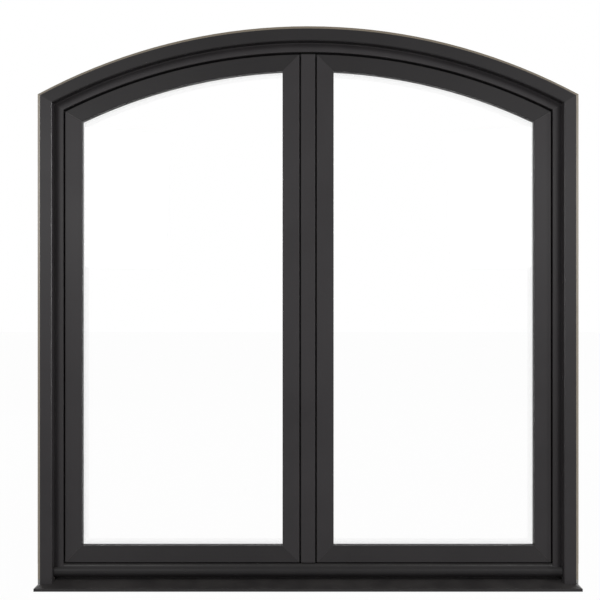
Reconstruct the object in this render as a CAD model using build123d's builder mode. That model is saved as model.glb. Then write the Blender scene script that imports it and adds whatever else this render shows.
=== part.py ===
from build123d import *
import math
import os

# Side-hung pair of sashes under one segmental arch head.
# Timber frame and sashes carry the glass, aluminium cladding covers the weather side.
# The weather side faces -Y, +X is to the right seen from outside, +Z is up.
# The origin is on the underside of the sub-sill, midway through the timber frame's depth.
# Left and right are as seen from outside.

os.makedirs("parts", exist_ok=True)

# Outline of the timber frame
frame_width = 1580.0
overall_height = 1635.0
head_radius = 1670.0
frame_depth = 108.0

# Widths seen in the elevation, from the frame's outer face inwards
bare_edge = 14.0
casing_face = 35.0
quirk = 3.5
swell = 17.5
swell_flats = 4
land = 7.5
sash_gap = 5.0
head_gap = 7.0
foot_gap = 3.5
sash_face = 49.0
mullion_face = 41.0

# Depths of the weather side
casing_depth = 26.0
face_projection = 8.0
quirk_projection = 2.0
nose_projection = 25.0

# Aluminium sections
skin = 2.0
casing_wall = 2.0
nosing_wall = 2.5
arris = 1.2
casing_arris = 2.2
fit = 0.3
clip_space = 2.0

# Sub-sill
nose_height = 8.0
sill_fall = 12.0
apron_reach = 16.0
nose_inset = 3.5
horn_return = 12.0

# Bottom of the frame, heights above the underside
sill_reveal_height = 67.5
bullnose_top = 58.0
bullnose_foot = 27.0
bullnose_bulge = 6.0
drip_depth = 16.0

# Timber frame
stop_overlap = 10.5
cladding_leg = 38.0
timber_splay = 4.0

# Sashes
sash_depth = 60.0
sash_leg = 32.0
stop_gap = 2.0
glass_rebate = 20.0
glass_cover = 18.0
timber_sight = 10.0
sticking = 5.0

# Double glazing
glass_setback = 20.0
pane = 4.0
air_space = 16.0
spacer_face = 7.0
spacer_inset = 2.0
gasket = 3.0
gasket_face = 9.0

# Weather seal in the reveal
seal_depth = 6.0
seal_setback = 30.0

# Mullion
mullion_back = 70.0

# Handle on each meeting stile
handle_height = 640.0
handle_plate_width = 22.0
handle_plate_length = 120.0
handle_plate_depth = 9.0
handle_neck_radius = 8.0
handle_neck_length = 24.0
handle_grip_length = 130.0
handle_grip_width = 18.0
handle_grip_depth = 10.0
handle_bevel = 2.5

# Fixing holes through each jamb
fixing_radius = 4.0
fixing_count = 4
fixing_pitch = 320.0
fixing_middle = 740.0

# Faces worked out from the driving sizes
half_width = frame_width / 2
timber_front = -frame_depth / 2
timber_back = frame_depth / 2
casing_front = timber_front - casing_depth
cladding_front = timber_front - face_projection
quirk_front = timber_front - quirk_projection
nose_front = casing_front - nose_projection
sash_back = cladding_front + sash_depth
stop_front = sash_back + stop_gap
arc_centre = overall_height - head_radius

casing_inner = bare_edge + casing_face
reveal = casing_inner + quirk + swell + land
rebate = reveal - skin - fit
sash_edge = reveal + sash_gap
sash_crown = reveal + head_gap
glass_line = sash_edge + sash_face
stop_edge = sash_edge + stop_overlap
glass_front = cladding_front + glass_setback
sub_sill_height = nose_height + (timber_front - nose_front) * math.tan(math.radians(sill_fall))
sash_bottom = sill_reveal_height + foot_gap
meeting_edge = mullion_face / 2 + sash_gap
sash_outer = half_width - sash_edge
head_axis = Axis((0, 0, arc_centre), (0, 1, 0))


def arc_z(offset, x):
    """Height of the head's arc, at an offset inside the frame's outer face."""
    radius = head_radius - offset
    return arc_centre + math.sqrt(radius**2 - x**2)


def arc_corner(x, offset):
    """Corner where an upright line meets the head's arc, at an offset inwards."""
    return x, arc_z(offset, x)


def spring_corner(offset):
    """Corner of the left jamb and the head, at the same offset inwards."""
    return arc_corner(-(half_width - offset), offset)


def mitre(start, end):
    """Upright cutting plane through two corners of the elevation, facing upwards."""
    across = end[0] - start[0]
    rise = end[1] - start[1]
    facing = math.copysign(1, across)
    return Plane(
        origin=(start[0], 0, start[1]),
        x_dir=(0, 1, 0),
        z_dir=(-rise * facing, 0, across * facing),
    )


def mirrored(plane):
    """The same cutting plane on the right-hand side."""
    normal = plane.z_dir
    return Plane(
        origin=(-plane.origin.X, 0, plane.origin.Z),
        x_dir=(0, 1, 0),
        z_dir=(-normal.X, 0, normal.Z),
    )


def write_piece(piece, name):
    """Label a finished piece and write its file."""
    piece.part.label = name
    export_step(piece.part, f"parts/{name}.step")


def write_pair(piece, name):
    """Write a left-hand piece and its mirror image on the right."""
    write_piece(piece, f"{name}_left")
    with BuildPart() as other_hand:
        mirror(piece.part, about=Plane.YZ)
    write_piece(other_hand, f"{name}_right")


# Section planes: local X runs into the opening, local Y runs towards the room
jamb_plane = Plane(origin=(-half_width, 0, 0), x_dir=(1, 0, 0), z_dir=(0, 0, 1))
hinge_plane = Plane(origin=(-sash_outer, 0, 0), x_dir=(1, 0, 0), z_dir=(0, 0, 1))
meeting_plane = Plane(origin=(-meeting_edge, 0, 0), x_dir=(-1, 0, 0), z_dir=(0, 0, -1))
sweep_start = math.degrees(math.asin(half_width / head_radius)) + 2.0


def head_plane(degrees):
    """Section plane across the head, turned from the crown about the arc's centre."""
    turn = math.radians(degrees)
    outward = (math.sin(turn), math.cos(turn))
    return Plane(
        origin=(head_radius * outward[0], 0, arc_centre + head_radius * outward[1]),
        x_dir=(-outward[0], 0, -outward[1]),
        z_dir=(outward[1], 0, -outward[0]),
    )


def upright(section, plane, length):
    """Straight member: a section run along its plane's normal."""
    with BuildPart() as member:
        with BuildSketch(plane):
            add(section)
        extrude(amount=length)
    return member.part


def arched(section):
    """Arched member: a section turned about the centre of the head, past both springings."""
    with BuildPart() as member:
        with BuildSketch(head_plane(-sweep_start)):
            add(section)
        revolve(axis=head_axis, revolution_arc=2 * sweep_start)
    return member.part


# Sections of the aluminium
with BuildSketch() as casing_section:
    with BuildLine():
        Polyline(
            (bare_edge, timber_front - fit),
            (bare_edge, casing_front),
            (casing_inner, casing_front),
            (casing_inner, timber_front - fit),
            (casing_inner - casing_wall, timber_front - fit),
            (casing_inner - casing_wall, casing_front + casing_wall),
            (bare_edge + casing_wall, casing_front + casing_wall),
            (bare_edge + casing_wall, timber_front - fit),
            close=True,
        )
    make_face()
    front_corners = casing_section.vertices().group_by(Axis.Y)[0].sort_by(Axis.X)
    chamfer(front_corners[0], length=arris)
    chamfer(front_corners[-1], length=casing_arris)

with BuildSketch() as cladding_section:
    quirk_end = (casing_inner + quirk, quirk_front)
    land_start = (reveal - land, cladding_front)
    # The swell is folded in narrow flats along its arc
    swell_arc = TangentArc(land_start, quirk_end, tangent=(-1, 0), mode=Mode.PRIVATE)
    swell_folds = [swell_arc @ (fold / swell_flats) for fold in range(swell_flats)]
    with BuildLine():
        Polyline(
            *swell_folds,
            quirk_end,
            (casing_inner + fit, quirk_front),
            (casing_inner + fit, timber_front),
            (casing_inner + quirk + skin, timber_front),
            (reveal - land, cladding_front + skin),
            (reveal - skin, cladding_front + skin),
            (reveal - skin, cladding_front + cladding_leg),
            (reveal, cladding_front + cladding_leg),
            (reveal, cladding_front),
            close=True,
        )
    make_face()
    chamfer(cladding_section.vertices().group_by(Axis.Y)[0].sort_by(Axis.X)[-1], length=arris)


def sash_section(face):
    """Section of the sash cladding for a width of face, with its return to the glass."""
    foot = glass_front - gasket
    with BuildSketch() as section:
        with BuildLine():
            Polyline(
                (0, cladding_front + sash_leg),
                (0, cladding_front),
                (face, cladding_front),
                (face, foot),
                (face - gasket_face, foot),
                (face - gasket_face, foot - skin),
                (face - skin, foot - skin),
                (face - skin, cladding_front + skin),
                (skin, cladding_front + skin),
                (skin, cladding_front + sash_leg),
                close=True,
            )
        make_face()
        chamfer(section.vertices().group_by(Axis.Y)[0], length=arris)
    return section.sketch


# Casing round the jambs and the head
casing_mitre = mitre(spring_corner(bare_edge), spring_corner(casing_inner))
slope_run = Plane(
    origin=(0, nose_front, nose_height + fit),
    x_dir=(1, 0, 0),
    z_dir=(0, -math.sin(math.radians(sill_fall)), math.cos(math.radians(sill_fall))),
)

with BuildPart() as casing:
    add(upright(casing_section.sketch, jamb_plane, overall_height))
    split(bisect_by=casing_mitre, keep=Keep.BOTTOM)
    split(bisect_by=slope_run, keep=Keep.TOP)
write_pair(casing, "casing")

with BuildPart() as casing_head:
    add(arched(casing_section.sketch))
    split(bisect_by=casing_mitre, keep=Keep.TOP)
    split(bisect_by=mirrored(casing_mitre), keep=Keep.TOP)
write_piece(casing_head, "casing_head")

# Frame cladding beside and over the sashes
cladding_mitre = mitre(spring_corner(casing_inner), spring_corner(reveal))

with BuildPart() as jamb_cladding:
    add(upright(cladding_section.sketch, jamb_plane, overall_height))
    split(bisect_by=cladding_mitre, keep=Keep.BOTTOM)
    split(bisect_by=Plane.XY.offset(bullnose_top), keep=Keep.TOP)
    # The leg in the rebate stops on top of the timber sill
    with BuildSketch(Plane.XZ.offset(-timber_front + fit)):
        with Locations((-half_width + reveal, sill_reveal_height - fit)):
            Rectangle(frame_depth, sash_face, align=(Align.CENTER, Align.MAX))
    extrude(amount=-frame_depth, mode=Mode.SUBTRACT)
write_pair(jamb_cladding, "jamb_cladding")

with BuildPart() as head_cladding:
    add(arched(cladding_section.sketch))
    split(bisect_by=cladding_mitre, keep=Keep.TOP)
    split(bisect_by=mirrored(cladding_mitre), keep=Keep.TOP)
write_piece(head_cladding, "head_cladding")

# Sill cladding: rebate leg, land and bullnose over a drip
with BuildPart() as sill_cladding:
    with BuildSketch(Plane.YZ):
        shoulder = (cladding_front, bullnose_top)
        chin = (quirk_front, bullnose_foot)
        middle_height = (bullnose_top + bullnose_foot) / 2
        with BuildLine():
            ThreePointArc(shoulder, (cladding_front - bullnose_bulge, middle_height), chin)
            Polyline(
                chin,
                (timber_front + drip_depth - skin, bullnose_foot),
                (timber_front + drip_depth - skin, sub_sill_height + fit),
                (timber_front + drip_depth, sub_sill_height + fit),
                (timber_front + drip_depth, bullnose_foot + skin),
                (quirk_front + skin, bullnose_foot + skin),
                (cladding_front - bullnose_bulge + skin, middle_height),
                (cladding_front + skin, bullnose_top),
                (cladding_front + skin, sill_reveal_height - skin),
                (cladding_front + cladding_leg, sill_reveal_height - skin),
                (cladding_front + cladding_leg, sill_reveal_height),
                (cladding_front, sill_reveal_height),
                shoulder,
            )
        make_face()
    extrude(amount=half_width - casing_inner - fit, both=True)
    # The land stands between the jamb claddings
    with BuildSketch(Plane.XZ.offset(-cladding_front + bullnose_bulge)):
        with Locations((half_width - reveal - fit, bullnose_top)):
            Rectangle(sash_face, sash_face, align=Align.MIN)
        with Locations((-half_width + reveal + fit, bullnose_top)):
            Rectangle(sash_face, sash_face, align=(Align.MAX, Align.MIN))
    extrude(amount=-frame_depth, mode=Mode.SUBTRACT)
write_piece(sill_cladding, "sill_cladding")

# Sub-sill board, and its aluminium nosing with returned ends
apron_width = 2 * (half_width - casing_inner)

with BuildPart() as sub_sill:
    with BuildSketch(Plane.YZ):
        with Locations((timber_front, 0)):
            Rectangle(frame_depth, sub_sill_height, align=Align.MIN)
    extrude(amount=half_width, both=True)
    # Rebate for the nosing's apron, in the drip between the casings
    with BuildSketch(Plane.XY.offset(sub_sill_height)):
        with Locations((0, timber_front)):
            Rectangle(apron_width, apron_reach, align=(Align.CENTER, Align.MIN))
    extrude(amount=-nosing_wall, mode=Mode.SUBTRACT)
write_piece(sub_sill, "sub_sill")

nose_end = half_width - nose_inset
horn_start = nose_end - horn_return

with BuildPart() as sill_nosing:
    with BuildSketch(Plane.YZ):
        with BuildLine():
            Polyline(
                (nose_front, 0),
                (nose_front, nose_height),
                (timber_front - fit, sub_sill_height),
                (timber_front - fit, 0),
                close=True,
            )
        make_face()
    extrude(amount=nose_end, both=True)
    # Hollow, open at the back against the board
    with BuildSketch(Plane.YZ):
        with BuildLine():
            Polyline(
                (nose_front + nosing_wall, nosing_wall),
                (nose_front + nosing_wall, nose_height - nosing_wall),
                (timber_front - fit, sub_sill_height - nosing_wall),
                (timber_front - fit, nosing_wall),
                close=True,
            )
        make_face()
    extrude(amount=horn_start - nosing_wall, both=True, mode=Mode.SUBTRACT)
    # Ends fall away from the casing to the height of the nose
    with BuildSketch(Plane.XZ.offset(-nose_front)):
        horn_rise = nose_height + nose_projection * math.tan(math.radians(sill_fall))
        for side in (-1, 1):
            with BuildLine():
                Polyline(
                    (side * horn_start, horn_rise),
                    (side * nose_end, nose_height),
                    (side * nose_end, sub_sill_height + skin),
                    (side * horn_start, sub_sill_height + skin),
                    close=True,
                )
            make_face()
    extrude(amount=-frame_depth, mode=Mode.SUBTRACT)
    # Apron over the board, under the bullnose
    with BuildSketch(Plane.XY.offset(sub_sill_height)):
        with Locations((0, timber_front - fit)):
            Rectangle(apron_width - 2 * fit, apron_reach, align=(Align.CENTER, Align.MIN))
    extrude(amount=-nosing_wall)
write_piece(sill_nosing, "sill_nosing")


def band_arc(offset, x_low, x_high):
    """Arc of the head between two uprights of the elevation, at an offset inwards."""
    middle = (x_low + x_high) / 2
    return ThreePointArc(
        (x_low, arc_z(offset, x_low)),
        (middle, arc_z(offset, middle)),
        (x_high, arc_z(offset, x_high)),
    )


def elevation(y):
    """Sketch plane of the elevation at a depth: local X to the right, local Y up."""
    return Plane.XZ.offset(-y)


def under_arc(low, high, foot_height, offset):
    """Elevation between two uprights, from a level foot up to the head's arc."""
    with BuildSketch() as outline:
        with BuildLine():
            band_arc(offset, low, high)
            Polyline(
                (low, arc_z(offset, low)),
                (low, foot_height),
                (high, foot_height),
                (high, arc_z(offset, high)),
            )
        make_face()
    return outline.sketch


def splay(opening, room_face, size):
    """Cutter for the splayed edge round an opening, on the room side."""
    with BuildPart() as cutter:
        with BuildSketch(elevation(room_face - size)):
            add(opening)
        extrude(amount=-size, taper=-45)
    return cutter.part


def jamb_outline(inner):
    """Elevation of the left timber jamb, from the sill to its mitre with the head."""
    outer_corner = spring_corner(0)
    inner_corner = spring_corner(inner)
    with BuildSketch() as outline:
        with BuildLine():
            Polyline(
                (-half_width, 0),
                outer_corner,
                inner_corner,
                (-half_width + inner, 0),
                close=True,
            )
        make_face()
    return outline.sketch


def head_outline(inner):
    """Elevation of the timber head, between its two mitres."""
    outer_x = -spring_corner(0)[0]
    inner_x = -spring_corner(inner)[0]
    with BuildSketch() as outline:
        with BuildLine():
            band_arc(0, -outer_x, outer_x)
            band_arc(inner, -inner_x, inner_x)
            Line(spring_corner(0), spring_corner(inner))
            Line((outer_x, arc_z(0, outer_x)), (inner_x, arc_z(inner, inner_x)))
        make_face()
    return outline.sketch


# Timber frame: the front part holds the rebate, the back part is the stop
timber_sill_top = sill_reveal_height - skin - fit
timber_stop_top = sill_reveal_height + stop_edge - reveal
front_run = stop_front - timber_front
back_run = timber_back - stop_front
left_light = under_arc(-half_width + stop_edge, -mullion_back / 2, timber_stop_top, stop_edge)
left_splay = splay(left_light, timber_back, timber_splay)
right_splay = mirror(left_splay, about=Plane.YZ)

with BuildPart() as frame_sill:
    with BuildSketch(Plane.YZ):
        with BuildLine():
            Polyline(
                (timber_front, sub_sill_height),
                (timber_front, timber_sill_top),
                (stop_front, timber_sill_top),
                (stop_front, timber_stop_top),
                (timber_back, timber_stop_top),
                (timber_back, sub_sill_height),
                close=True,
            )
        make_face()
    extrude(amount=half_width, both=True)
    # Drip groove under the bullnose, between the casings
    with BuildSketch(Plane.YZ):
        with Locations((timber_front, sub_sill_height)):
            Rectangle(
                drip_depth,
                bullnose_foot + skin + fit - sub_sill_height,
                align=Align.MIN,
            )
    extrude(amount=half_width - casing_inner, both=True, mode=Mode.SUBTRACT)
    add([left_splay, right_splay], mode=Mode.SUBTRACT)
write_piece(frame_sill, "frame_sill")

with BuildPart() as frame_jamb:
    with BuildSketch(elevation(timber_front)):
        add(jamb_outline(rebate))
    extrude(amount=-front_run)
    with BuildSketch(elevation(stop_front)):
        add(jamb_outline(stop_edge))
    extrude(amount=-back_run)
    # Foot coped over the sill
    with BuildSketch(Plane.YZ.offset(-half_width)):
        with BuildLine():
            Polyline(
                (timber_front, 0),
                (timber_front, timber_sill_top),
                (stop_front, timber_sill_top),
                (stop_front, timber_stop_top),
                (timber_back, timber_stop_top),
                (timber_back, 0),
                close=True,
            )
        make_face()
    extrude(amount=half_width, mode=Mode.SUBTRACT)
    # Clearance holes for the wall fixings
    with BuildSketch(Plane.YZ.offset(-half_width)):
        with Locations(((stop_front + timber_back) / 2, fixing_middle)):
            with GridLocations(0, fixing_pitch, 1, fixing_count):
                Circle(fixing_radius)
    extrude(amount=stop_edge, mode=Mode.SUBTRACT)
    add(left_splay, mode=Mode.SUBTRACT)
write_pair(frame_jamb, "frame_jamb")

with BuildPart() as frame_head:
    with BuildSketch(elevation(timber_front)):
        add(head_outline(rebate))
    extrude(amount=-front_run)
    with BuildSketch(elevation(stop_front)):
        add(head_outline(stop_edge))
    extrude(amount=-back_run)
    add([left_splay, right_splay], mode=Mode.SUBTRACT)
write_piece(frame_head, "frame_head")

# Mullion: a stem between the sashes and a wider back that stops them
stem_half = mullion_face / 2 - skin - fit

with BuildPart() as frame_mullion:
    with BuildSketch(elevation(cladding_front + skin + clip_space)):
        add(under_arc(-stem_half, stem_half, sash_bottom, sash_crown))
    extrude(amount=-(seal_setback - skin - clip_space))
    with BuildSketch(elevation(cladding_front + seal_setback)):
        add(under_arc(-stem_half, stem_half, sill_reveal_height + fit, reveal + fit))
    extrude(amount=-(stop_front - cladding_front - seal_setback))
    with BuildSketch(elevation(stop_front)):
        add(under_arc(-mullion_back / 2, mullion_back / 2, timber_stop_top, stop_edge + fit))
    extrude(amount=-back_run)
    add([left_splay, right_splay], mode=Mode.SUBTRACT)
write_piece(frame_mullion, "frame_mullion")

with BuildPart() as mullion_cover:
    cover_half = mullion_face / 2
    with BuildSketch(Plane.XY.offset(sash_bottom)) as cover_section:
        with BuildLine():
            Polyline(
                (-cover_half, cladding_front + cladding_leg),
                (-cover_half, cladding_front),
                (cover_half, cladding_front),
                (cover_half, cladding_front + cladding_leg),
                (cover_half - skin, cladding_front + cladding_leg),
                (cover_half - skin, cladding_front + skin),
                (-cover_half + skin, cladding_front + skin),
                (-cover_half + skin, cladding_front + cladding_leg),
                close=True,
            )
        make_face()
        chamfer(cover_section.vertices().group_by(Axis.Y)[0], length=arris)
    extrude(amount=arc_z(sash_crown, mullion_face / 2) - sash_bottom)
write_piece(mullion_cover, "mullion_cover")


def sash_band(inset):
    """Elevation outline of the left sash, moved inwards by an inset."""
    return under_arc(
        -(sash_outer - inset),
        -(meeting_edge + inset),
        sash_bottom + inset,
        sash_edge + inset,
    )


def ring(outer_inset, inner_inset, front, depth):
    """Frame-shaped piece between two insets of the sash outline."""
    with BuildPart() as piece:
        with BuildSketch(elevation(front)):
            add(sash_band(outer_inset))
            add(sash_band(inner_inset), mode=Mode.SUBTRACT)
        extrude(amount=-depth)
    return piece.part


# Sash cladding, mitred at all four corners
hinge_top = mitre(
    arc_corner(-sash_outer, sash_crown),
    arc_corner(-sash_outer + sash_face, glass_line),
)
meeting_top = mitre(
    arc_corner(-meeting_edge, sash_crown),
    arc_corner(-meeting_edge - sash_face, glass_line),
)
hinge_foot = mitre(
    (-sash_outer, sash_bottom),
    (-sash_outer + sash_face, sash_bottom + sash_face),
)
meeting_foot = mitre(
    (-meeting_edge, sash_bottom),
    (-meeting_edge - sash_face, sash_bottom + sash_face),
)

with BuildPart() as hinge_stile_cladding:
    add(upright(sash_section(sash_face), hinge_plane, overall_height))
    split(bisect_by=hinge_top, keep=Keep.BOTTOM)
    split(bisect_by=hinge_foot, keep=Keep.TOP)
write_pair(hinge_stile_cladding, "hinge_stile_cladding")

with BuildPart() as meeting_stile_cladding:
    add(upright(sash_section(sash_face), meeting_plane, -overall_height))
    split(bisect_by=meeting_top, keep=Keep.BOTTOM)
    split(bisect_by=meeting_foot, keep=Keep.TOP)
write_pair(meeting_stile_cladding, "meeting_stile_cladding")

with BuildPart() as bottom_rail_cladding:
    rail_plane = Plane(origin=(0, 0, sash_bottom), x_dir=(0, 0, 1), z_dir=(-1, 0, 0))
    with BuildSketch(rail_plane):
        add(sash_section(sash_face))
    extrude(amount=half_width)
    split(bisect_by=hinge_foot, keep=Keep.BOTTOM)
    split(bisect_by=meeting_foot, keep=Keep.BOTTOM)
write_pair(bottom_rail_cladding, "bottom_rail_cladding")

with BuildPart() as top_rail_cladding:
    with BuildSketch(head_plane(-sweep_start)):
        with Locations((sash_crown, 0)):
            add(sash_section(glass_line - sash_crown))
    revolve(axis=head_axis, revolution_arc=sweep_start + 1.0)
    split(bisect_by=hinge_top, keep=Keep.TOP)
    split(bisect_by=meeting_top, keep=Keep.TOP)
write_pair(top_rail_cladding, "top_rail_cladding")

# Sash timber: a full-depth bar round the edge, and a lip behind the glass
bar_edge = skin + fit
bar_face = sash_face - glass_rebate
bar_front = cladding_front + skin + clip_space
bar_run = sash_back - bar_front
lip_edge = sash_face - timber_sight
lip_front = glass_front + 2 * pane + air_space + fit
lip_depth = sash_back - lip_front
sash_splay = splay(sash_band(lip_edge), sash_back, sticking)


def arched_strip(left, right, outer, inner):
    """Elevation of a strip between two arcs of the head and two uprights."""
    with BuildSketch() as outline:
        with BuildLine():
            band_arc(outer, left, right)
            band_arc(inner, left, right)
            Line(arc_corner(left, outer), arc_corner(left, inner))
            Line(arc_corner(right, outer), arc_corner(right, inner))
        make_face()
    return outline.sketch


def timber_stile(edge, inwards):
    """Timber stile whose outer edge is at edge and whose glass is on the inwards side."""
    outer = edge + inwards * bar_edge
    shoulder_x = edge + inwards * bar_face
    lip_x = edge + inwards * lip_edge
    bar = sorted((outer, shoulder_x))
    lip = sorted((shoulder_x, lip_x))
    with BuildPart() as stile:
        with BuildSketch(elevation(bar_front)):
            add(under_arc(*bar, sash_bottom + bar_edge, sash_crown + bar_edge))
        extrude(amount=-bar_run)
        with BuildSketch(elevation(lip_front)):
            add(under_arc(*lip, sash_bottom + bar_face, sash_edge + bar_face))
        extrude(amount=-lip_depth)
        add(sash_splay, mode=Mode.SUBTRACT)
    return stile


write_pair(timber_stile(-sash_outer, 1), "hinge_stile")
write_pair(timber_stile(-meeting_edge, -1), "meeting_stile")

rail_left = -sash_outer + bar_face
rail_right = -meeting_edge - bar_face
lip_left = -sash_outer + lip_edge
lip_right = -meeting_edge - lip_edge

with BuildPart() as bottom_rail:
    with BuildSketch(elevation(bar_front)):
        with Locations((rail_left, sash_bottom + bar_edge)):
            Rectangle(rail_right - rail_left, bar_face - bar_edge, align=Align.MIN)
    extrude(amount=-bar_run)
    with BuildSketch(elevation(lip_front)):
        with Locations((lip_left, sash_bottom + bar_face)):
            Rectangle(lip_right - lip_left, lip_edge - bar_face, align=Align.MIN)
    extrude(amount=-lip_depth)
    add(sash_splay, mode=Mode.SUBTRACT)
write_pair(bottom_rail, "bottom_rail")

with BuildPart() as top_rail:
    with BuildSketch(elevation(bar_front)):
        add(arched_strip(rail_left, rail_right, sash_crown + bar_edge, sash_edge + bar_face))
    extrude(amount=-bar_run)
    with BuildSketch(elevation(lip_front)):
        add(arched_strip(lip_left, lip_right, sash_edge + bar_face, sash_edge + lip_edge))
    extrude(amount=-lip_depth)
    add(sash_splay, mode=Mode.SUBTRACT)
write_pair(top_rail, "top_rail")

# Double glazing
pane_inset = sash_face - glass_cover
inner_pane_front = glass_front + pane + air_space

for pane_name, pane_front in (("outer_pane", glass_front), ("inner_pane", inner_pane_front)):
    with BuildPart() as glass_pane:
        with BuildSketch(elevation(pane_front)):
            add(sash_band(pane_inset))
        extrude(amount=-pane)
    write_pair(glass_pane, pane_name)

with BuildPart() as spacer:
    spacer_outer = pane_inset + spacer_inset
    add(ring(spacer_outer, spacer_outer + spacer_face, glass_front + pane, air_space))
write_pair(spacer, "spacer")

with BuildPart() as glazing_gasket:
    add(ring(sash_face - gasket_face, sash_face, glass_front - gasket, gasket))
write_pair(glazing_gasket, "glazing_gasket")

# Weather seal between sash and frame
with BuildPart() as weather_seal:
    with BuildSketch(elevation(cladding_front + seal_setback - seal_depth)):
        add(
            under_arc(
                -half_width + reveal + fit,
                -mullion_face / 2 - fit,
                sill_reveal_height + fit,
                reveal + fit,
            )
        )
        add(
            under_arc(
                -sash_outer - fit,
                -meeting_edge + fit,
                sash_bottom - fit,
                sash_crown - fit,
            ),
            mode=Mode.SUBTRACT,
        )
    extrude(amount=-seal_depth)
write_pair(weather_seal, "weather_seal")

# Handle on the room side of each meeting stile
handle_x = -(mullion_back / 2 + meeting_edge + lip_edge - sticking) / 2

with BuildPart() as handle_plate:
    with BuildSketch(elevation(sash_back)):
        with Locations((handle_x, handle_height)):
            SlotOverall(handle_plate_length, handle_plate_width, rotation=90)
    extrude(amount=-handle_plate_depth)
    chamfer(handle_plate.faces().sort_by(Axis.Y)[-1].edges(), length=handle_bevel)
write_pair(handle_plate, "handle_plate")

with BuildPart() as handle_lever:
    plate_back = sash_back + handle_plate_depth
    with BuildSketch(elevation(plate_back)):
        with Locations((handle_x, handle_height)):
            Circle(handle_neck_radius)
    extrude(amount=-handle_neck_length)
    # The grip hangs down from the neck
    grip_middle = handle_height - (handle_grip_length - handle_grip_width) / 2
    with BuildSketch(elevation(plate_back + handle_neck_length)):
        with Locations((handle_x, grip_middle)):
            SlotOverall(handle_grip_length, handle_grip_width, rotation=90)
    extrude(amount=-handle_grip_depth)
    chamfer(handle_lever.faces().sort_by(Axis.Y)[-1].edges(), length=handle_bevel)
write_pair(handle_lever, "handle_lever")
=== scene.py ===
"""Arched pair of aluminium-clad timber casements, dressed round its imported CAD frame.

Lengths are in metres. The weather side faces -Y, +X is to the right seen from outside
and +Z is up, as in the frame.
"""

import logging
import math
from dataclasses import dataclass
from enum import Enum
from functools import cache
from typing import Callable, Sequence

import bmesh
import bpy
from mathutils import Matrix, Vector


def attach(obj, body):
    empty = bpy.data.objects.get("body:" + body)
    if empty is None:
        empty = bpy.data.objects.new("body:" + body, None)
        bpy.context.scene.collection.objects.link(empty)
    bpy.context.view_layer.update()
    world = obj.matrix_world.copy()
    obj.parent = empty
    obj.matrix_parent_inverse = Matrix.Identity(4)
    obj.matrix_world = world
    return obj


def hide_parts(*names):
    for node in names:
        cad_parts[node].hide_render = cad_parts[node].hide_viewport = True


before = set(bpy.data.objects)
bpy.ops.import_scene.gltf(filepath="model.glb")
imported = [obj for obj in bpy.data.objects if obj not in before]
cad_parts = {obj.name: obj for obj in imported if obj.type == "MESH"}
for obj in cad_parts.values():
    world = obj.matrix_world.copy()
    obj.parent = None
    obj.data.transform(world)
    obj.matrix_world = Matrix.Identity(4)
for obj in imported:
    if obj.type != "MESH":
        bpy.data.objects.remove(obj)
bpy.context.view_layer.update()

logging.basicConfig(level=logging.INFO, format="%(message)s")
log = logging.getLogger("window")

Point = tuple[float, float]
Place = tuple[float, float, float]
Colour = tuple[float, float, float, float]
Ring = list[Vector]
Verts = list[bmesh.types.BMVert]
EndRule = Callable[[float, float], float]
Inputs = dict[str, object]
Object = bpy.types.Object
Material = bpy.types.Material
Tree = bpy.types.NodeTree
Socket = bpy.types.NodeSocket
Sockets = Sequence[Socket]

WHITE: Colour = (1.0, 1.0, 1.0, 1.0)
SHARP_ANGLE = math.radians(32.0)


class Run(Enum):
    """Direction in which a member, and so its grain or die lines, runs; the powder coats also take
    a painted shade from it.
    """

    UPRIGHT = "upright"
    LEVEL = "level"
    ARCHED = "arched"


class Hand(Enum):
    """Side of the window, seen from outside."""

    LEFT = "left"
    RIGHT = "right"

    @property
    def sign(self) -> float:
        """Direction of this side along X."""
        return -1.0 if self is Hand.LEFT else 1.0

    def placed(self, rings: Sequence[Ring]) -> list[Ring]:
        """Put rings drawn for the left hand on this one."""
        return [[Vector((-self.sign * p.x, p.y, p.z)) for p in ring] for ring in rings]


@dataclass(frozen=True)
class Elevation:
    """Sizes of the elevation that every member follows."""

    half_width: float = 0.790
    height: float = 1.635
    head_radius: float = 1.670
    casing_outer: float = 0.014
    casing_inner: float = 0.049
    quirk_width: float = 0.0035
    land_width: float = 0.0055
    reveal: float = 0.0775
    sash_edge: float = 0.0825
    sash_crown: float = 0.0845
    sash_face: float = 0.049
    glass_line: float = 0.1315
    mullion_face: float = 0.041
    meeting_edge: float = 0.0255
    sash_bottom: float = 0.0710
    sill_reveal: float = 0.0675
    bullnose_top: float = 0.058
    bullnose_foot: float = 0.027
    sub_sill: float = 0.01884

    @property
    def centre(self) -> float:
        """Height of the point that the head's arcs are struck from."""
        return self.height - self.head_radius

    @property
    def bullnose_middle(self) -> float:
        """Height of the bullnose's middle."""
        return (self.bullnose_top + self.bullnose_foot) / 2

    def rise(self, offset: float, x: float) -> float:
        """Height of the head's arc at x, at an offset inside the frame's outer face."""
        return self.centre + math.sqrt((self.head_radius - offset) ** 2 - x * x)

    def corner(self, x: float, offset: float) -> Point:
        """Corner where an upright line meets the head's arc, at an offset inwards."""
        return x, self.rise(offset, x)

    def springing(self, offset: float) -> Point:
        """Corner of the left jamb and the head, at the same offset inwards."""
        return self.corner(-(self.half_width - offset), offset)


@dataclass(frozen=True)
class Depths:
    """Faces across the thickness, from the weather side to the room."""

    nose_front: float = -0.105
    casing_front: float = -0.080
    sash_front: float = -0.062
    quirk_front: float = -0.056
    timber_front: float = -0.054


@dataclass(frozen=True)
class Metal:
    """Thickness and corner roundings of the aluminium."""

    wall: float = 0.002
    arris: float = 0.0016
    chamfer: float = 0.0026
    chamfer_round: float = 0.0012
    inner_round: float = 0.0006
    fit: float = 0.0003
    joint: float = 0.00015
    round_steps: int = 4
    arc_steps: int = 72


ELEVATION = Elevation()
DEPTHS = Depths()
METAL = Metal()


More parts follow.
